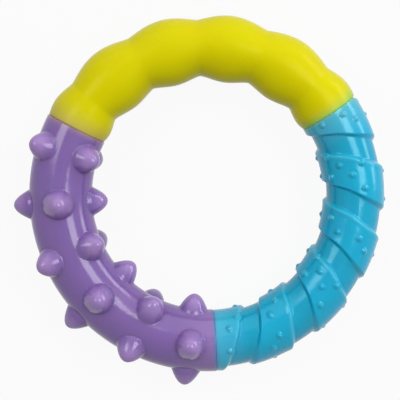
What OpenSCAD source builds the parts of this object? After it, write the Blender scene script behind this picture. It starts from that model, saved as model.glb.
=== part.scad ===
// Ring-shaped chew toy of three textured rubber segments, moulded into one another.
// The ring lies flat, with its centre at the origin and its axis along Z.
// Ring angles start at +X and run towards +Y, which is the middle of the lobed segment.
// Tube angles start at the outer side of the tube and run over the top to its inner side.

/* [Ring] */
// Radius of the tube's centreline
ring_r = 58.4; // [52:0.2:70]
// Radius of the plain tube, under the studs
tube_r = 12.4; // [11.4:0.2:14]

/* [Lobed segment] */
// Number of full lobes
lobe_count = 4; // [3:1:5]
// Ring angle that one full lobe takes
lobe_span = 23.4; // [16:0.2:23.4]
// Ring angle that a short end lobe would take if the seam didn't cut it
end_lobe_span = 16; // [13:0.5:16]
// Height of an end lobe, as a share of a full one's
end_lobe_share = 0.78; // [0.4:0.02:1]
// How far the lobes' crests stand out of the plain tube, at its outer and inner sides
lobe_rise = 0.75; // [0.4:0.05:2]
// How far the necks between lobes sink into the plain tube, at its outer and inner sides
neck_sink = 1.4; // [0.5:0.05:1.5]
// How far the crests stand out at the top and the bottom
lobe_rise_face = 0.35; // [0.2:0.05:1.5]
// How far the necks sink at the top and the bottom
neck_sink_face = 0.2; // [0:0.05:1]
// Fullness of a lobe's curve, from a plump 0.8 to a peaked 2
lobe_power = 1.2; // [0.8:0.1:2]

/* [Studded segment] */
// Stations of studs along the segment
stud_stations = 6; // [3:1:6]
// Ring angle from one station to the next
stud_pitch = 20; // [18:0.5:20]
// Studs round the tube at each station
studs_round = 4; // [2:1:4]
// Height of a stud above the tube
stud_h = 6.2; // [4:0.2:7]
// Radius of a stud where it leaves the tube
stud_r = 6; // [4:0.2:6]
// Bluntness of a stud's tip, from a cone at 1 to a dome at 0.5
stud_power = 0.5; // [0.5:0.05:1]

/* [Wrapped segment] */
// Turns of the raised band
band_turns = 5.14; // [3.5:0.02:6]
// Ring angle of the band's leading edge, at the outer side of the tube
band_lead = 6.6; // [-10:0.1:10]
// Share of each turn that the band covers, the groove taking the rest
band_share = 0.61; // [0.5:0.01:0.7]
// Sway of the band's course in tube angle: it runs steeper over the faces than round the sides
band_sway = 11; // [0:1:14]
// Width of the band's sloping edges, along the tube
band_slope = 1.2; // [0.8:0.1:1.6]
// How far the band's surface sinks into the plain tube
band_sink = 0.2; // [-0.5:0.1:0.4]
// How far the groove between its turns sinks into the plain tube
groove_sink = 1.6; // [0.8:0.1:1.8]
// Radius of a nub at its foot
nub_r = 1.4; // [0.8:0.05:1.5]
// Height of a nub above the band
nub_rise = 0.9; // [0.5:0.1:1.5]

/* [Joints between segments] */
// Radius of a tenon's ball
ball_r = 6.5; // [5.5:0.1:7]
// Distance from the seam to the ball's centre
ball_reach = 5.5; // [5:0.1:7]
// Radius of a tenon's neck
tenon_neck_r = 5; // [4:0.1:5.3]
// Gap round a tenon for the bond
bond_gap = 0.15; // [0.15:0.05:0.3]

/* [Hidden] */

// Ring angles of the seams, nearly a third of the ring apart
blue_start = -90;
yellow_start = 31.5;
purple_start = 150;
blue_angle = yellow_start - blue_start;
yellow_angle = purple_start - yellow_start;
purple_angle = 360 - blue_angle - yellow_angle;

// Lobed segment: the tube's sides and rings of points, and the full lobes midway between the seams
lobe_sides = 24;
lobe_side_step = 360 / lobe_sides;
lobe_rings = 60;
lobes_start = yellow_start + (yellow_angle - lobe_count * lobe_span) / 2;
lobes_end = lobes_start + lobe_count * lobe_span;

// Wrapped segment: the ring angle of one turn, and the tube's sides on the band and in the groove
band_pitch = blue_angle / band_turns;
band_sides = 14;
groove_sides = 7;
band_rings = round(band_turns * (band_sides + groove_sides + 2));
band_width = band_pitch * band_share;
slope_share = band_slope / (band_pitch * ring_r * PI / 180);
// Places of the tube's long edges across the band and the groove, as shares of a turn
band_places = [for (k = [0:band_sides])
    slope_share / 2 + (band_share - slope_share) * k / band_sides];
groove_places = [for (k = [0:groove_sides])
    band_share + slope_share / 2 + (1 - band_share - slope_share) * k / groove_sides];
// Where a row's nubs stand: tube angle, and shift across the band as a share of its width
nub_places = [[0, 0], [77, 0.02], [141, 0], [188, 0.12], [236, 0.06], [298, 0]];
// Rows of nubs, as shares of the band's width: two on each even turn and one on each odd turn
nub_rows = [[0.1, 0.74], [0.4]];
// Single nubs between the rows: share of the band's width, and tube angle
nub_singles = [[[0.51, 99], [0.31, 119], [0.5, 267]], [[0.57, 58], [0.66, 120], [0.62, 267]]];
nub_sink = 1.2;
nub_shoulder = 0.45;
nub_top_share = 0.55;
// Nubs stay this far from the seams, in ring angle
nub_margin = 2;

// A stud's profile: shares of its foot's radius, from the foot to the tip
stud_shares = [1, 0.92, 0.8, 0.66, 0.5, 0.32, 0.14, 0];
stud_root = 2.5;
first_stud_angle = purple_start + (purple_angle - (stud_stations - 1) * stud_pitch) / 2;

// How deep a tenon is rooted in its own segment
tenon_root = 2;

function tube_point(ring_angle, tube_angle, r) = [
    (ring_r + r * cos(tube_angle)) * cos(ring_angle),
    (ring_r + r * cos(tube_angle)) * sin(ring_angle),
    r * sin(tube_angle)
];

// Swept tube: every ring has the same number of points, in the order of the tube angle,
// and each end is closed round a point at its centre
module swept_tube(rings, start_centre, end_centre) {
    count = len(rings[0]);
    last = len(rings) - 1;
    start_point = len(rings) * count;
    end_point = start_point + 1;
    function at(i, j) = i * count + j % count;
    polyhedron(
        points = concat([for (ring = rings) each ring], [start_centre, end_centre]),
        faces = [
            for (i = [0:last - 1], j = [0:count - 1]) each [
                [at(i, j), at(i, j + 1), at(i + 1, j)],
                [at(i, j + 1), at(i + 1, j + 1), at(i + 1, j)]
            ],
            for (j = [0:count - 1]) [start_point, at(0, j + 1), at(0, j)],
            for (j = [0:count - 1]) [end_point, at(last, j), at(last, j + 1)]
        ]
    );
}

// Ball tenon, or with a gap the socket for one, at a seam and pointing along the ring
module tenon(seam_angle, direction, gap = 0) {
    rotate([0, 0, seam_angle])
        translate([ring_r, 0, 0])
            rotate([-90 * direction, 0, 0]) {
                translate([0, 0, -tenon_root])
                    cylinder(r = tenon_neck_r + gap, h = tenon_root + ball_reach, $fn = 24);
                translate([0, 0, ball_reach])
                    sphere(r = ball_r + gap, $fn = 24);
            }
}

// How full the lobes are at a ring angle: 0 in a neck, 1 on a full lobe's crest
function end_lobe(distance) = end_lobe_share * pow(sin(180 * distance / end_lobe_span), lobe_power);
function full_lobe(distance) = pow(sin(180 * (distance % lobe_span) / lobe_span), lobe_power);
function fullness(ring_angle) =
    ring_angle < lobes_start ? end_lobe(min(lobes_start - ring_angle, end_lobe_span))
    : ring_angle > lobes_end ? end_lobe(min(ring_angle - lobes_end, end_lobe_span))
    : full_lobe(ring_angle - lobes_start);

// The lobes swell most at the outer and inner sides of the tube, and less at the top and bottom
function lobed_r(ring_angle, tube_angle) =
    let (face = pow(sin(tube_angle), 2))
    let (neck = tube_r - neck_sink * (1 - face) - neck_sink_face * face)
    let (crest = tube_r + lobe_rise * (1 - face) + lobe_rise_face * face)
    neck + (crest - neck) * fullness(ring_angle);

module yellow_lobed_segment() {
    rings = [
        for (i = [0:lobe_rings])
            let (a = yellow_start + i * yellow_angle / lobe_rings)
            [
                for (j = [0:lobe_sides - 1])
                    tube_point(a, j * lobe_side_step, lobed_r(a, j * lobe_side_step))
            ]
    ];
    color([0.80, 0.77, 0.08])
        difference() {
            swept_tube(rings, tube_point(yellow_start, 0, 0), tube_point(purple_start, 0, 0));
            tenon(yellow_start, 1, bond_gap);
            tenon(purple_start, -1, bond_gap);
        }
}

// One stud, standing on the tube's surface, with its root inside the tube
module stud() {
    tip_curve = [for (s = stud_shares) [stud_r * s, stud_h * (1 - pow(s, 1 / stud_power))]];
    rotate_extrude($fn = 32)
        polygon(concat([[0, -stud_root], [stud_r, -stud_root]], tip_curve));
}

module purple_studded_segment() {
    color([0.52, 0.42, 0.65])
        union() {
            rotate([0, 0, purple_start])
                rotate_extrude(angle = purple_angle, $fn = 96)
                    translate([ring_r, 0])
                        circle(r = tube_r, $fn = 48);
            // Every other station, from the first, is turned by half the angle between its studs
            for (i = [0:stud_stations - 1], j = [0:studs_round - 1])
                rotate([0, 0, first_stud_angle + i * stud_pitch])
                    translate([ring_r, 0, 0])
                        rotate([0, 90 - (j + (i + 1) % 2 / 2) * 360 / studs_round, 0])
                            translate([0, 0, tube_r])
                                stud();
            tenon(purple_start, -1);
            tenon(blue_start, 1);
        }
}

// One nub, standing on the band, with its root inside the tube
module nub() {
    translate([0, 0, -nub_sink])
        hull() {
            cylinder(r = nub_r, h = nub_sink + nub_rise * nub_shoulder, $fn = 8);
            cylinder(r = nub_r * nub_top_share, h = nub_sink + nub_rise, $fn = 8);
        }
}

// A nub on the band, unless it would touch a seam
module placed_nub(turn, share, tube_angle) {
    course = tube_angle - band_sway * sin(2 * tube_angle);
    ring_angle = band_lead - share * band_width + band_pitch * (turn + course / 360);
    if (ring_angle > blue_start + nub_margin && ring_angle < yellow_start - nub_margin)
        rotate([0, 0, ring_angle])
            translate([ring_r, 0, 0])
                rotate([0, 90 - tube_angle, 0])
                    translate([0, 0, tube_r - band_sink])
                        nub();
}

// Tube angle of a point on the band, from the winding that an even helix would have there
function swayed(winding) = winding + band_sway * sin(2 * winding);

module blue_wrapped_segment() {
    // Each point keeps its place across the band from ring to ring, so the band's edges stay clean
    rings = [
        for (i = [0:band_rings])
            let (a = blue_start + i * blue_angle / band_rings)
            let (winding = 360 * (a - band_lead) / band_pitch)
            [
                for (place = band_places)
                    tube_point(a, swayed(winding + 360 * place), tube_r - band_sink),
                for (place = groove_places)
                    tube_point(a, swayed(winding + 360 * place), tube_r - groove_sink)
            ]
    ];
    color([0.22, 0.64, 0.77])
        union() {
            difference() {
                swept_tube(rings, tube_point(blue_start, 0, 0), tube_point(yellow_start, 0, 0));
                tenon(blue_start, 1, bond_gap);
            }
            tenon(yellow_start, 1);
            // Turns are counted from the one at the band's lead
            for (turn = [-7:3]) {
                odd = abs(turn) % 2;
                for (place = nub_places, row = nub_rows[odd])
                    placed_nub(turn, row + place[1], place[0]);
                for (single = nub_singles[odd])
                    placed_nub(turn, single[0], single[1]);
            }
        }
}

yellow_lobed_segment();
purple_studded_segment();
blue_wrapped_segment();
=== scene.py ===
from math import cos, pi, radians, sin

import bpy
from mathutils import Matrix, Vector


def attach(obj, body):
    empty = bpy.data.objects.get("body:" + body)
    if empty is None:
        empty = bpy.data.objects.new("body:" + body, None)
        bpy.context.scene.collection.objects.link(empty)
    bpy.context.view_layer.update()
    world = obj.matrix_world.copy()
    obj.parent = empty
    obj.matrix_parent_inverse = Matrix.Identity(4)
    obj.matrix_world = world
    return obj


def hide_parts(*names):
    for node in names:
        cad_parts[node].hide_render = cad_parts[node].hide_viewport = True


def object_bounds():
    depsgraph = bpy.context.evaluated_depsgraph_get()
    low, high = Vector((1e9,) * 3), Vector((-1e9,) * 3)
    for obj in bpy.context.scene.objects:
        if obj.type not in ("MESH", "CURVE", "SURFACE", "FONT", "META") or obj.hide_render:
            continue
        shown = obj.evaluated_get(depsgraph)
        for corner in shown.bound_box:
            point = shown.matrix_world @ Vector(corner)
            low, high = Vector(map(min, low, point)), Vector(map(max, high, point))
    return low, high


# A chew toy ring of three rubber segments: lobed, studded, and wound with a band that carries nubs.
# Ring angles start at +X and run towards +Y. Tube angles start at the tube's outer side and run
# over its top. Both are in degrees, and lengths are in metres.

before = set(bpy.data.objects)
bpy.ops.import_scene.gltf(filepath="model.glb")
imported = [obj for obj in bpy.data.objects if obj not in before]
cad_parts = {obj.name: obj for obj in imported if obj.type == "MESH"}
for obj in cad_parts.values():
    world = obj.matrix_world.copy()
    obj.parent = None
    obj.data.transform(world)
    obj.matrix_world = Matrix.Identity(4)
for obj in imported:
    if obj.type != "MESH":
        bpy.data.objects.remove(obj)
cadLow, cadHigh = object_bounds()
mm = 0.001
print("frame loaded, box in mm:", [round(v / mm, 1) for v in (*cadLow, *cadHigh)])

# ring angles of the seams
seams = {"blueYellow": 31.5, "yellowPurple": 150.0, "purpleBlue": 270.0}

# Sizes that every segment's tree takes. A stud's tip is the top of the CAD box, and the tip of
# another, on the ring's outer side, is its left end, so the ring's radius comes from the two.
ring = {
    "Ring radius": -cadLow.x - cadHigh.z,
    "Tube radius": 12.4 * mm,
    "Edge round": 0.25 * mm,        # at the seams
    "Crowding": 0.86,               # how much the rings crowd towards the ends, under 1
    "Cap rings": 6,
    "Weld": 0.002 * mm,             # points closer than this become one
}


# Wires: sums on sockets, for the geometry trees and the materials alike

class Wire:
    # one output socket; + - * / ** on it add Math nodes to its tree
    def __init__(self, tree, socket=None):
        self.tree, self.socket = tree, socket

    # a node of any kind, from its settings and its sockets' values or wires
    def node(self, kind, settings=None, values=None, out=0):
        made = self.tree.nodes.new(kind)
        for name, setting in (settings or {}).items():
            setattr(made, name, setting)
        for name, value in (values or {}).items():
            if isinstance(value, Wire):
                value = [value]
            if isinstance(value, list):
                for wire in value:
                    self.tree.links.new(wire.socket, made.inputs[name])
            else:
                made.inputs[name].default_value = value
        return Wire(self.tree, made.outputs[out] if made.outputs else None)

    # another output of the same node
    def out(self, name):
        return Wire(self.tree, self.socket.node.outputs[name])

    def math(self, operation, *others):
        return self.node("ShaderNodeMath", {"operation": operation}, dict(enumerate((self, *others))))

    def __add__(self, other):
        return self.math("ADD", other)

    def __sub__(self, other):
        return self.math("SUBTRACT", other)

    def __rsub__(self, other):
        return self.math("MULTIPLY_ADD", -1.0, other)

    def __mul__(self, other):
        return self.math("MULTIPLY", other)

    def __truediv__(self, other):
        return self.math("DIVIDE", other)

    def __rtruediv__(self, other):
        return self.node("ShaderNodeMath", {"operation": "DIVIDE"}, {0: other, 1: self})

    def __pow__(self, other):
        return self.math("POWER", other)

    def __neg__(self):
        return self.math("MULTIPLY", -1.0)

    __radd__ = __add__
    __rmul__ = __mul__

    def root(self):
        return self.math("SQRT")

    # of an angle in degrees
    def cosine(self):
        return self.math("RADIANS").math("COSINE")

    def sine(self):
        return self.math("RADIANS").math("SINE")

    def least(self, other):
        return self.math("MINIMUM", other)

    def most(self, other):
        return self.math("MAXIMUM", other)

    # 1 where it is over the limit, else 0
    def above(self, limit):
        return self.math("GREATER_THAN", limit)

    # 0 below low, 1 above high, an S between them
    def step(self, low, high):
        return self.node("ShaderNodeMapRange", {"interpolation_type": "SMOOTHSTEP"},
                         {"Value": self, "From Min": low, "From Max": high})

    # a colour that turns from one to the other as the share goes from 0 to 1
    def mix(self, share, colour, other, way="MIX"):
        factor, first, second, result = 0, 6, 7, 2      # places of the node's colour sockets
        return self.node("ShaderNodeMix", {"data_type": "RGBA", "blend_type": way},
                         {factor: share, first: colour, second: other}, out=result)


# Growing: a geometry tree with named sizes, and the plain mesh that it makes. A new tree's own
# wire is its seeds, the points that a tree may start from.

def newTree(name, sizes):
    tree = bpy.data.node_groups.new(name, "GeometryNodeTree")
    tree.interface.new_socket("Seeds", in_out="INPUT", socket_type="NodeSocketGeometry")
    tree.interface.new_socket("Geometry", in_out="OUTPUT", socket_type="NodeSocketGeometry")
    for key, value in sizes.items():
        kind = "NodeSocketInt" if isinstance(value, int) else "NodeSocketFloat"
        tree.interface.new_socket(key, in_out="INPUT", socket_type=kind)
    seeds = Wire(tree).node("NodeGroupInput", out="Seeds")
    return seeds, {key: seeds.out(key) for key in sizes}


def finishTree(geometry, material):
    smooth = geometry.node("GeometryNodeSetShadeSmooth", {}, {"Geometry": geometry})
    whole = smooth.node("GeometryNodeRealizeInstances", {}, {"Geometry": smooth})
    dressed = whole.node("GeometryNodeSetMaterial", {}, {"Geometry": whole, "Material": material})
    dressed.node("NodeGroupOutput", {}, {"Geometry": dressed})
    return geometry.tree


def growPiece(name, tree, sizes, node, seeds=()):
    seedMesh = bpy.data.meshes.new(name + "Seeds")
    seedMesh.from_pydata(seeds, [], [])
    holder = bpy.data.objects.new(name + "Seeds", seedMesh)
    bpy.context.scene.collection.objects.link(holder)
    grow = holder.modifiers.new("grow", "NODES")
    grow.node_group = tree
    for item in tree.interface.items_tree:
        if item.in_out == "INPUT" and item.name in sizes:
            grow[item.identifier] = sizes[item.name]
    depsgraph = bpy.context.evaluated_depsgraph_get()
    mesh = bpy.data.meshes.new_from_object(holder.evaluated_get(depsgraph), depsgraph=depsgraph,
                                           preserve_all_data_layers=True)
    holder.modifiers.remove(grow)
    bpy.data.objects.remove(holder)
    mesh.name = name
    piece = bpy.data.objects.new(name, mesh)
    bpy.context.scene.collection.objects.link(piece)
    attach(piece, "root")
    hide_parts(node)
    print(name, "grown:", len(mesh.vertices), "points,", len(mesh.polygons), "faces")


# Tube: a grid whose length runs along the ring and whose width runs round the tube.
# Past each end the rings shrink to the tube's centre, which closes the segment.

def tubeGrid(wire, size):
    grid = wire.node("GeometryNodeMeshGrid", {}, {
        "Size X": 1.0, "Size Y": 1.0,
        "Vertices X": size["Rings"] + size["Cap rings"] * 2 + 1, "Vertices Y": size["Sides"] + 1})
    spot = wire.node("ShaderNodeSeparateXYZ", {}, {0: wire.node("GeometryNodeInputPosition")})
    length, around = spot + 0.5, spot.out("Y") + 0.5
    # share of the segment's length, under 0 in the first cap and over 1 in the last
    capShare = size["Cap rings"] / size["Rings"]
    along = length * (1 + capShare * 2) - capShare
    cap = 1 - (-along).most(along - 1).most(0.0) / capShare
    share = along.most(0.0).least(1.0)
    share = share - size["Crowding"] * (share * 360).sine() / (2 * pi)
    span = size["Seam end"] - size["Seam start"]
    ringAngle = size["Seam start"] + span * share
    # how much the tube shrinks to round its edge
    toSeam = share.least(1 - share) * span * arcPerDegree(size)
    rounding = size["Edge round"]
    reach = (rounding - toSeam).most(0.0)
    shrink = rounding - (rounding * rounding - reach * reach).root()
    return grid, ringAngle, around, shrink, cap


# along the tube's centreline
def arcPerDegree(size):
    return size["Ring radius"] * (pi / 180)


def tubePoint(size, ringAngle, tubeAngle, radius):
    arm = size["Ring radius"] + radius * tubeAngle.cosine()
    return arm.node("ShaderNodeCombineXYZ", {}, {
        "X": arm * ringAngle.cosine(), "Y": arm * ringAngle.sine(), "Z": radius * tubeAngle.sine()})


def moved(geometry, place):
    return geometry.node("GeometryNodeSetPosition", {}, {"Geometry": geometry, "Position": place})


def closedTube(grid, size, place):
    return grid.node("GeometryNodeMergeByDistance", {}, {
        "Geometry": moved(grid, place), "Distance": size["Weld"]})


def keepValue(geometry, name, value, kind="FLOAT"):
    return geometry.node("GeometryNodeStoreNamedAttribute", {"data_type": kind, "domain": "POINT"},
                         {"Geometry": geometry, "Name": name, "Value": value})


def keptValue(wire, name, kind="FLOAT"):
    return wire.node("GeometryNodeInputNamedAttribute", {"data_type": kind}, {"Name": name})


# how far each point is from the segment's first and last seam, for the tints beside them
def keepSeams(geometry, size, ringAngle, first, last):
    geometry = keepValue(geometry, first, (ringAngle - size["Seam start"]) * arcPerDegree(size))
    return keepValue(geometry, last, (size["Seam end"] - ringAngle) * arcPerDegree(size))


# Finishes: each rubber has its colour, its gloss, its skin and the tints beside its seams

# an sRGB colour of 0 to 255 as Blender's linear colour
def linear(r, g, b):
    shares = [v / 255 for v in (r, g, b)]
    return (*(v / 12.92 if v < 0.04045 else ((v + 0.055) / 1.055) ** 2.4 for v in shares), 1.0)


def newRubber(name, look):
    material = bpy.data.materials.new(name)
    material.use_nodes = True
    material.node_tree.nodes.clear()
    place = Wire(material.node_tree).node("ShaderNodeTexCoord", out="Object")
    return material, place, noise(place, look["mottleSize"], detail=3.0)


def noise(place, size, detail):
    return place.node("ShaderNodeTexNoise", {}, {"Vector": place, "Scale": 1 / size, "Detail": detail})


# height in metres, from three sizes of unevenness: the mould's slow waves, ripples and a fine grain
def skin(place, look):
    waves = noise(place, look["waveSize"], detail=1.0) * look["waveHeight"]
    ripples = noise(place, look["rippleSize"], detail=1.0) * look["rippleHeight"]
    grain = noise(place, look["grainSize"], detail=2.0) * look["grainHeight"]
    return place.node("ShaderNodeBump", {}, {
        "Height": waves + ripples + grain, "Distance": 1.0, "Strength": 1.0}, out="Normal")


def kept(wire, name):
    return wire.node("ShaderNodeAttribute", {"attribute_name": name}, out="Fac")


# the neighbour shows through beside a seam: each tint fades away over its reach
def seamTints(colour, mottle, look):
    for seam, shade, strength, reach, fade, wander in look["tints"]:
        toSeam = kept(mottle, seam)
        if wander:
            toSeam = toSeam + (mottle - 0.5) * wander
        near = 1 - (toSeam / reach).most(0.0).least(1.0)
        colour = mottle.mix(near ** fade * strength, colour, shade)
    return colour


def unevenRoughness(mottle, look):
    return look["roughness"] + (mottle - 0.5) * look["mottleGloss"]


def finishRubber(material, place, mottle, look, colour, roughness):
    colour = seamTints(colour, mottle, look)
    shader = place.node("ShaderNodeBsdfPrincipled", {}, {
        "Base Color": mottle.mix(look["mottleTint"], colour, mottle.out("Color"), "OVERLAY"),
        "Roughness": roughness, "Normal": skin(place, look),
        "Specular IOR Level": look["shine"], "Specular Tint": look["shineColour"],
        "Subsurface Weight": look["glow"], "Subsurface Scale": look["glowDepth"],
        "Subsurface Radius": look["glowColour"]})
    shader.node("ShaderNodeOutputMaterial", {}, {"Surface": shader})
    return material


# Yellow: the lobed segment

yellow = {
    "sizes": {
        "Seam start": seams["blueYellow"],
        "Seam end": seams["yellowPurple"],
        "Rings": 300,
        "Sides": 120,
        "Lobes": 4,
        "Lobe span": 23.4,
        "End lobe span": 16.0,
        "End lobe share": 0.78,
        "Lobe rise": 0.75 * mm,         # at the outer and inner sides
        "Neck sink": 1.4 * mm,
        "Face rise": 0.35 * mm,         # at the top and the bottom
        "Face sink": 0.2 * mm,
        "Fullness": 1.2,
        **ring,
    },
    "look": {
        "colour": linear(204, 195, 0),
        # beside the seams: which seam, colour, strength, reach, how fast it fades, how far it wanders
        "tints": [
            ("toPurple", linear(178, 164, 92), 0.9, 10 * mm, 2.0, 1.5 * mm),
            ("toPurple", linear(118, 98, 84), 0.8, 0.9 * mm, 1.5, 0.0),
            ("toBlue", linear(136, 188, 92), 1.0, 7 * mm, 3.0, 1.5 * mm),
        ],
        "mottleSize": 14 * mm, "mottleTint": 0.06, "mottleGloss": 0.15,
        "roughness": 0.29,
        "shine": 0.17, "shineColour": (1.0, 0.95, 0.3, 1.0),
        "glow": 0.12, "glowDepth": 3 * mm, "glowColour": (1.0, 0.9, 0.1),
        "waveSize": 9 * mm, "waveHeight": 0.10 * mm,
        "rippleSize": 2.4 * mm, "rippleHeight": 0.008 * mm,
        "grainSize": 0.5 * mm, "grainHeight": 0.006 * mm,
    },
}


def yellowRubber():
    look = yellow["look"]
    material, place, mottle = newRubber("yellow_rubber", look)
    return finishRubber(material, place, mottle, look, look["colour"], unevenRoughness(mottle, look))


def growYellow(material):
    wire, size = newTree("Lobed segment", yellow["sizes"])
    grid, ringAngle, around, shrink, cap = tubeGrid(wire, size)
    tubeAngle = around * 360
    # how full the lobes are along the ring: 0 in a neck, 1 on a full lobe's crest
    lobesSpan = size["Lobes"] * size["Lobe span"]
    fromFirst = ringAngle - (size["Seam start"] + size["Seam end"] - lobesSpan) / 2
    beyond = (-fromFirst).most(fromFirst - lobesSpan)
    isEnd = beyond.above(0.0)
    full = ((fromFirst / size["Lobe span"]).math("FRACT") * 180).sine() ** size["Fullness"]
    end = ((beyond / size["End lobe span"]).most(0.0).least(1.0) * 180).sine() ** size["Fullness"]
    fullness = full * (1 - isEnd) + end * size["End lobe share"] * isEnd
    # the lobes swell less at the tube's top and bottom
    face = tubeAngle.sine() ** 2.0
    neck = size["Tube radius"] - size["Neck sink"] * (1 - face) - size["Face sink"] * face
    crest = size["Tube radius"] + size["Lobe rise"] * (1 - face) + size["Face rise"] * face
    radius = (neck + (crest - neck) * fullness - shrink) * cap
    grid = keepSeams(grid, size, ringAngle, "toBlue", "toPurple")
    tree = finishTree(closedTube(grid, size, tubePoint(size, ringAngle, tubeAngle, radius)), material)
    growPiece("yellowLobes", tree, yellow["sizes"], "yellow_lobed_segment")


# Purple: the studded segment

purple = {
    "sizes": {
        "Seam start": seams["yellowPurple"],
        "Seam end": seams["purpleBlue"],
        "Rings": 240,
        "Sides": 112,
        "Stations": 6,
        "Station pitch": 20.0,
        "Studs round": 4,
        "Stud height": cadHigh.z - ring["Tube radius"],
        "Stud radius": 5.85 * mm,
        "Stud bluntness": 0.5,
        "Stud wall": 5.0,               # how steeply a stud falls past its foot
        "Foot fillet": 1.3 * mm,
        "Skirt": 1.2,                   # how far a stud's patch reaches along the tube, in its radii
        "Skirt lift": 0.008 * mm,       # how far the skirt lies over the tube
        "Rim sink": 0.02 * mm,          # how far it dips below the tube near its rim
        "Rim tuck": 0.3 * mm,           # and at the rim itself
        "Base depth": 3 * mm,           # of the point that closes the patch
        "Stud sides": 48,
        "Stud steps": 36,
        **ring,
    },
    "look": {
        "colour": linear(118, 88, 156),
        "tip": linear(147, 117, 178),
        "tipRise": 0.7,                 # share of a stud's height from which it has the tip's colour
        "tints": [
            ("toYellow", linear(156, 124, 134), 0.9, 3 * mm, 2.0, 1 * mm),
            ("toBlue", linear(160, 127, 190), 0.36, 17 * mm, 1.1, 6 * mm),
            ("toBlue", linear(78, 118, 172), 0.9, 2.2 * mm, 1.6, 0.0),
        ],
        "mottleSize": 10 * mm, "mottleTint": 0.08, "mottleGloss": 0.1,
        "speckSize": 1.2 * mm, "speckWander": 0.25,
        "roughness": 0.15, "tipRoughness": 0.02,
        "shine": 0.45, "shineColour": (1.0, 1.0, 1.0, 1.0),
        "glow": 0.12, "glowDepth": 2.5 * mm, "glowColour": (0.8, 0.5, 1.0),
        "waveSize": 5 * mm, "waveHeight": 0.06 * mm,
        "rippleSize": 1.8 * mm, "rippleHeight": 0.022 * mm,
        "grainSize": 0.6 * mm, "grainHeight": 0.004 * mm,
    },
}


# the studs turn paler towards their tips
def purpleRubber():
    look = purple["look"]
    material, place, mottle = newRubber("purple_rubber", look)
    specks = noise(place, look["speckSize"], detail=2.0)
    tip = (kept(place, "studRise") + (specks - 0.5) * look["speckWander"]).step(0.0, look["tipRise"])
    colour = tip.mix(tip, look["colour"], look["tip"])
    roughness = unevenRoughness(mottle, look) + tip * look["tipRoughness"]
    return finishRubber(material, place, mottle, look, colour, roughness)


# where the studs stand: points that carry their station's ring angle and their tube angle
def studPoints(wire, size):
    points = wire.node("GeometryNodePoints", {}, {"Count": size["Stations"] * size["Studs round"]})
    index = wire.node("GeometryNodeInputIndex")
    station = ((index + 0.5) / size["Studs round"]).math("FLOOR")
    between = 360 / size["Studs round"]
    # every other station, from the first, is turned by half the angle between its studs
    turned = (1 - station.math("MODULO", 2.0)) * between / 2
    stationsSpan = (size["Stations"] - 1) * size["Station pitch"]
    firstAngle = (size["Seam start"] + size["Seam end"] - stationsSpan) / 2
    points = keepValue(points, "stationAngle", firstAngle + station * size["Station pitch"])
    return keepValue(points, "studAngle", (index - station * size["Studs round"]) * between + turned)


# the tube's height under a stud, x along the ring and y round the tube from the stud's middle;
# each mend corrects it by how far the point misses the tube's surface
def tubeUnder(size, x, y, cosine, sine):
    mends = 3
    tubeSquared = size["Tube radius"] * size["Tube radius"]
    height = (tubeSquared - y * y).root()
    for mend in range(mends):
        reach = size["Ring radius"] + height * cosine - y * sine
        arm = (reach * reach + x * x).root()
        out, lift = arm - size["Ring radius"], height * sine + y * cosine
        miss = out * out + lift * lift - tubeSquared
        height = height - miss / ((out * reach / arm * cosine + lift * sine) * 2)
    return height


# each stud is a round patch that lies on the tube, rises from its foot and tucks its rim under
def growStuds(wire, size):
    cone = wire.node("GeometryNodeMeshCone", {"fill_type": "TRIANGLE_FAN"}, {
        "Vertices": size["Stud sides"], "Side Segments": size["Stud steps"], "Fill Segments": 1,
        "Radius Top": 0.0, "Radius Bottom": 1.0, "Depth": 1.0}, out="Mesh")
    patches = wire.node("GeometryNodeInstanceOnPoints", {}, {
        "Points": studPoints(wire, size), "Instance": cone})
    patches = wire.node("GeometryNodeRealizeInstances", {}, {"Geometry": patches})
    spot = wire.node("ShaderNodeSeparateXYZ", {}, {0: wire.node("GeometryNodeInputPosition")})
    flat = (spot * spot + spot.out("Y") * spot.out("Y")).root()
    isBase = 1 - (flat + spot.out("Z")).above(0.5)
    # the inner half of the steps goes up to this share of the foot's radius, and the outer half
    # crowds round the foot
    innerReach = 0.9
    outer = (flat - 0.5).most(0.0) * 2
    share = (flat * 2).least(1.0) * innerReach + outer * (size["Skirt"] - innerReach)
    tiny = 0.0001                       # so that the point in the middle isn't divided by 0
    spread = share * size["Stud radius"] / flat.most(tiny)
    x, y = spot * spread, spot.out("Y") * spread
    # heights are counted from the tube's centreline
    stationAngle, studAngle = keptValue(wire, "stationAngle"), keptValue(wire, "studAngle")
    cosine, sine = studAngle.cosine(), studAngle.sine()
    skirt = tubeUnder(size, x, y, cosine, sine) + size["Skirt lift"]
    crown = size["Stud height"] * (1 - share.least(1.0) ** (1 / size["Stud bluntness"]))
    wall = (share - 1).most(0.0) * size["Stud radius"] * size["Stud wall"]
    height = skirt.math("SMOOTH_MAX", size["Tube radius"] + crown - wall, size["Foot fillet"])
    # how far before the rim, in the foot's radii, the skirt starts and ends its sink and its tuck
    sinkStart, sinkEnd, tuckStart = 0.12, 0.05, 0.03
    rim = size["Skirt"]
    height = height - share.step(rim - sinkStart, rim - sinkEnd) * size["Rim sink"]
    height = height - share.step(rim - tuckStart, rim) * size["Rim tuck"]
    height = height - isBase * (size["Stud height"] + size["Base depth"])
    reach = size["Ring radius"] + height * cosine - y * sine
    ringAngle = stationAngle + x / reach * (180 / pi)
    patches = keepValue(patches, "studRise", (height - size["Tube radius"]) / size["Stud height"])
    patches = keepSeams(patches, size, ringAngle, "toYellow", "toBlue")
    return moved(patches, wire.node("ShaderNodeCombineXYZ", {}, {
        "X": reach * stationAngle.cosine() - x * stationAngle.sine(),
        "Y": reach * stationAngle.sine() + x * stationAngle.cosine(),
        "Z": height * sine + y * cosine}))


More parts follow.
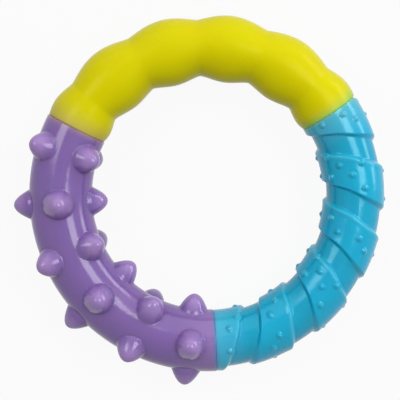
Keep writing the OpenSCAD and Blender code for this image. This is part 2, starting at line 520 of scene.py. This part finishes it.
def growPurple(material):
    wire, size = newTree("Studded segment", purple["sizes"])
    grid, ringAngle, around, shrink, cap = tubeGrid(wire, size)
    place = tubePoint(size, ringAngle, around * 360, (size["Tube radius"] - shrink) * cap)
    grid = keepSeams(grid, size, ringAngle, "toYellow", "toBlue")
    tube = closedTube(keepValue(grid, "studRise", 0.0), size, place)
    whole = wire.node("GeometryNodeJoinGeometry", {}, {"Geometry": [tube, growStuds(wire, size)]})
    tree = finishTree(whole, material)
    growPiece("purpleStuds", tree, purple["sizes"], "purple_studded_segment")


# Blue: the segment wound with a raised band that carries nubs

blue = {
    "sizes": {
        "Seam start": seams["purpleBlue"] - 360,
        "Seam end": seams["blueYellow"],
        "Rings": 300,
        "Sides": 192,
        "Turns": 5.14,
        "Band lead": 6.6,
        "Band share": 0.61,
        "Sway": 11.0,                   # how the band runs steeper over the faces than round the sides
        "Slope": 1.7 * mm,
        "Band sink": 0.2 * mm,
        "Groove sink": 1.6 * mm,
        "Lip": 0.12 * mm,               # along the band's leading edge
        "Nub radius": 2.05 * mm,        # out to the end of its flared foot
        "Nub rise": 0.74 * mm,
        "Nub flare": 0.16 * mm,         # how far the foot's edge lies below the band
        "Nub sink": 0.5 * mm,
        "Nub sides": 18,
        "Nub steps": 10,
        **ring,
    },
    # The nubs' places on the band: even turns carry two rows and odd turns one, and each turn has
    # a few more nubs between them. Shares count across the band from its leading edge.
    "nubs": {
        "turns": range(-7, 4),
        # tube angle of each place in a row, and its shift across the band
        "around": [(0, 0.0), (77, 0.02), (141, 0.0), (188, 0.12), (236, 0.06), (298, 0.0)],
        "rows": [[0.1, 0.74], [0.4]],
        # share and tube angle
        "singles": [[(0.51, 99), (0.31, 119), (0.5, 267)], [(0.57, 58), (0.66, 120), (0.62, 267)]],
        "margin": 2.0,                  # ring angle kept free at the seams
    },
    "look": {
        "colour": linear(0, 160, 198),
        # painted highlight along the band's leading edge, partly the thin edge's translucency
        "edge": linear(60, 176, 205),
        "edgeHighlightShare": 0.6,
        # painted shade: the groove is painted a little darker than the band
        "groove": linear(0, 154, 189),
        "grooveShadeRise": (0.2, 0.9),       # shares of the band's height over which the groove's painted shade ends
        "tints": [
            ("toYellow", linear(86, 172, 194), 0.75, 13 * mm, 1.0, 3 * mm),
            ("toPurple", linear(70, 166, 198), 0.8, 13 * mm, 1.0, 3 * mm),
            ("toYellow", linear(112, 180, 130), 0.9, 2.2 * mm, 2.0, 0.0),
            ("toPurple", linear(92, 124, 170), 0.8, 1.8 * mm, 1.6, 0.0),
        ],
        "mottleSize": 9 * mm, "mottleTint": 0.08, "mottleGloss": 0.12,
        "roughness": 0.19,
        "shine": 0.5, "shineColour": (0.5, 0.92, 1.0, 1.0),
        "glow": 0.12, "glowDepth": 2.5 * mm, "glowColour": (0.3, 0.8, 1.0),
        "waveSize": 6 * mm, "waveHeight": 0.11 * mm,
        "rippleSize": 1.8 * mm, "rippleHeight": 0.035 * mm,
        "grainSize": 0.5 * mm, "grainHeight": 0.003 * mm,
    },
}


# painted shade: the groove is painted a little darker than the band; painted highlight: the band's
# leading edge is painted paler still, partly for the thin edge's translucency
def blueRubber():
    look = blue["look"]
    material, place, mottle = newRubber("blue_rubber", look)
    # painted shade in the groove, the band's own colour on the band
    onBand = kept(place, "bandRise").step(*look["grooveShadeRise"])
    colour = place.mix(onBand, look["groove"], look["colour"])
    # the leading edge painted paler: a painted highlight
    colour = place.mix(kept(place, "bandEdge") * look["edgeHighlightShare"], colour, look["edge"])
    return finishRubber(material, place, mottle, look, colour, unevenRoughness(mottle, look))


# ring angle and tube angle of every nub, as the points that the tree starts from
def nubSeeds(size, nubs):
    pitch = (size["Seam end"] - size["Seam start"]) / size["Turns"]
    seeds = []
    for turn in nubs["turns"]:
        odd = turn % 2
        places = [(row + shift, angle) for angle, shift in nubs["around"] for row in nubs["rows"][odd]]
        for share, angle in places + nubs["singles"][odd]:
            winding = angle - size["Sway"] * sin(radians(2 * angle))
            ringAngle = size["Band lead"] + pitch * (turn + winding / 360 - share * size["Band share"])
            if size["Seam start"] + nubs["margin"] < ringAngle < size["Seam end"] - nubs["margin"]:
                seeds.append((ringAngle, angle, 0.0))
    return seeds


# the seeds moved to the band's surface, each with the direction in which its nub stands
def nubPoints(seeds, size):
    ringAngle = seeds.node("ShaderNodeSeparateXYZ", {}, {0: seeds.node("GeometryNodeInputPosition")})
    tubeAngle = ringAngle.out("Y")
    outward = seeds.node("ShaderNodeCombineXYZ", {}, {
        "X": tubeAngle.cosine() * ringAngle.cosine(),
        "Y": tubeAngle.cosine() * ringAngle.sine(),
        "Z": tubeAngle.sine()})
    points = keepSeams(seeds, size, ringAngle, "toPurple", "toYellow")
    points = keepValue(points, "outward", outward, "FLOAT_VECTOR")
    return moved(points, tubePoint(size, ringAngle, tubeAngle, size["Tube radius"] - size["Band sink"]))


# one nub: a small dome whose foot flares into the band and then turns down inside it
def nubDome(wire, size):
    cone = wire.node("GeometryNodeMeshCone", {"fill_type": "TRIANGLE_FAN"}, {
        "Vertices": size["Nub sides"], "Side Segments": size["Nub steps"], "Fill Segments": 1,
        "Radius Top": 0.0, "Radius Bottom": size["Nub radius"], "Depth": size["Nub rise"]}, out="Mesh")
    spot = wire.node("ShaderNodeSeparateXYZ", {}, {0: wire.node("GeometryNodeInputPosition")})
    share = (spot * spot + spot.out("Y") * spot.out("Y")).root() / size["Nub radius"]
    isFoot = 1 - spot.out("Z").above(0.01 * mm)
    isRim = isFoot * share.above(0.5)   # the foot without its middle
    domeStart, domeEnd = -0.05, 0.97    # shares of the radius between which the dome falls
    dome = size["Nub rise"] - (size["Nub rise"] + size["Nub flare"]) * share.step(domeStart, domeEnd)
    height = dome * (1 - isFoot) - size["Nub sink"] * isFoot
    rimTaper = 0.05                     # share by which the rim stands in
    inward = 1 - isRim * rimTaper
    return moved(cone, wire.node("ShaderNodeCombineXYZ", {}, {
        "X": spot * inward, "Y": spot.out("Y") * inward, "Z": height}))


def growBlue(material):
    wire, size = newTree("Wrapped segment", blue["sizes"])
    grid, ringAngle, around, shrink, cap = tubeGrid(wire, size)
    pitch = (size["Seam end"] - size["Seam start"]) / size["Turns"]
    # each point keeps its place across the band along the whole segment, so the edges stay clean
    winding = ((ringAngle - size["Band lead"]) / pitch + around) * 360
    tubeAngle = winding + size["Sway"] * (winding * 2).sine()
    # place across the band as a share of a turn, under 0 in the groove before it
    across = around - around.above((size["Band share"] + 1) / 2)
    slope = size["Slope"] / (pitch * arcPerDegree(size)) / 2
    lead = across.step(-slope, slope)
    trail = 1 - across.step(size["Band share"] - slope, size["Band share"] + slope)
    rise = lead * trail
    lip = lead * (1 - across.step(slope, slope * 3))
    groove = size["Tube radius"] - size["Groove sink"]
    radius = groove + (size["Groove sink"] - size["Band sink"]) * rise + size["Lip"] * lip
    # the lip's mask also carries where the leading edge's painted highlight goes
    grid = keepValue(keepValue(grid, "bandRise", rise), "bandEdge", lip)
    grid = keepSeams(grid, size, ringAngle, "toPurple", "toYellow")
    body = closedTube(grid, size, tubePoint(size, ringAngle, tubeAngle, (radius - shrink) * cap))
    upright = wire.node("FunctionNodeAlignRotationToVector", {"axis": "Z"},
                        {"Vector": keptValue(wire, "outward", "FLOAT_VECTOR")})
    nubs = wire.node("GeometryNodeInstanceOnPoints", {}, {
        "Points": nubPoints(wire, size), "Instance": nubDome(wire, size), "Rotation": upright})
    nubs = wire.node("GeometryNodeRealizeInstances", {}, {"Geometry": nubs})
    nubs = keepValue(nubs, "bandRise", 1.0)
    whole = wire.node("GeometryNodeJoinGeometry", {}, {"Geometry": [body, nubs]})
    growPiece("blueWrap", finishTree(whole, material), blue["sizes"], "blue_wrapped_segment",
              nubSeeds(blue["sizes"], blue["nubs"]))


growYellow(yellowRubber())
growPurple(purpleRubber())
growBlue(blueRubber())

# Camera: nearly straight above the ring, as in the photograph

view = {
    "place": Vector((-14.5, 27.4, 435.0)) * mm,
    "turn": (-3.749, -1.684, -2.836),
    "lens": 98.4,
    "sensor": 36.0,
}

cameraData = bpy.data.cameras.new("camera")
cameraData.lens = view["lens"]
cameraData.sensor_width = view["sensor"]
camera = bpy.data.objects.new("camera", cameraData)
camera.location = view["place"]
camera.rotation_euler = [radians(a) for a in view["turn"]]
bpy.context.scene.collection.objects.link(camera)
bpy.context.scene.camera = camera

# Studio: a pale floor, an even pale world and soft boxes

studio = {
    "floorSize": 6.0,
    "floorColour": (0.5, 0.5, 0.5, 1.0),
    "floorGlow": 0.93,              # share of the floor that the camera sees as plain white
    "white": (1.0, 1.0, 1.0, 1.0),
    "worldLight": 0.28,
    "boxDistance": 1.1,
    # name, azimuth and elevation in degrees, width, height and brightness
    "softBoxes": [
        ("key", 86, 37, 1.9, 1.3, 0.82),
        ("rightBox", 17, 61, 0.56, 0.48, 6.2),
        ("lowBox", 22, 12, 0.92, 0.26, 5.6),
        ("leftBox", 152, 51, 0.36, 0.52, 5.0),
    ],
}


# a soft box that faces the ring's centre
def addSoftBox(name, azimuth, elevation, width, height, brightness):
    lamp = bpy.data.lights.new(name, "AREA")
    lamp.shape = "RECTANGLE"
    lamp.size = width
    lamp.size_y = height
    lamp.energy = brightness * width * height * pi
    box = bpy.data.objects.new(name, lamp)
    side = Vector((-sin(radians(azimuth)), cos(radians(azimuth)), 0))
    level = Vector((cos(radians(azimuth)), sin(radians(azimuth)), 0))
    back = level * cos(radians(elevation)) + Vector((0, 0, sin(radians(elevation))))
    box.location = back * studio["boxDistance"]
    box.rotation_euler = Matrix((side, back.cross(side), back)).transposed().to_euler()
    bpy.context.scene.collection.objects.link(box)


# 1 for what the camera sees, in gloss and through glass too, and 0 for the light on the object
def seenByCamera(wire):
    path = wire.node("ShaderNodeLightPath", out="Is Camera Ray")
    return path.most(path.out("Is Glossy Ray")).most(path.out("Is Transmission Ray"))


def floorFinish():
    material = bpy.data.materials.new("floor")
    material.use_nodes = True
    material.node_tree.nodes.clear()
    wire = Wire(material.node_tree)
    matt = wire.node("ShaderNodeBsdfDiffuse", {}, {"Color": studio["floorColour"]})
    white = wire.node("ShaderNodeEmission", {}, {"Color": studio["white"], "Strength": 1.0})
    both = wire.node("ShaderNodeMixShader", {}, {
        0: seenByCamera(wire) * studio["floorGlow"], 1: matt, 2: white})
    wire.node("ShaderNodeOutputMaterial", {}, {"Surface": both})
    return material


def addFloor():
    half, level = studio["floorSize"] / 2, cadLow.z
    corners = [(-half, -half, level), (half, -half, level), (half, half, level), (-half, half, level)]
    mesh = bpy.data.meshes.new("floor")
    mesh.from_pydata(corners, [], [(0, 1, 2, 3)])
    mesh.materials.append(floorFinish())
    floor = bpy.data.objects.new("floor", mesh)
    bpy.context.scene.collection.objects.link(floor)


def lightWorld():
    world = bpy.data.worlds.new("world")
    world.use_nodes = True
    world.node_tree.nodes.clear()
    bpy.context.scene.world = world
    wire = Wire(world.node_tree)
    strength = studio["worldLight"] + (1 - studio["worldLight"]) * seenByCamera(wire)
    glow = wire.node("ShaderNodeBackground", {}, {"Color": studio["white"], "Strength": strength})
    wire.node("ShaderNodeOutputWorld", {}, {"Surface": glow})


for softBox in studio["softBoxes"]:
    addSoftBox(*softBox)
addFloor()
lightWorld()
bpy.context.scene.view_settings.view_transform = "Standard"
print("studio and camera ready")
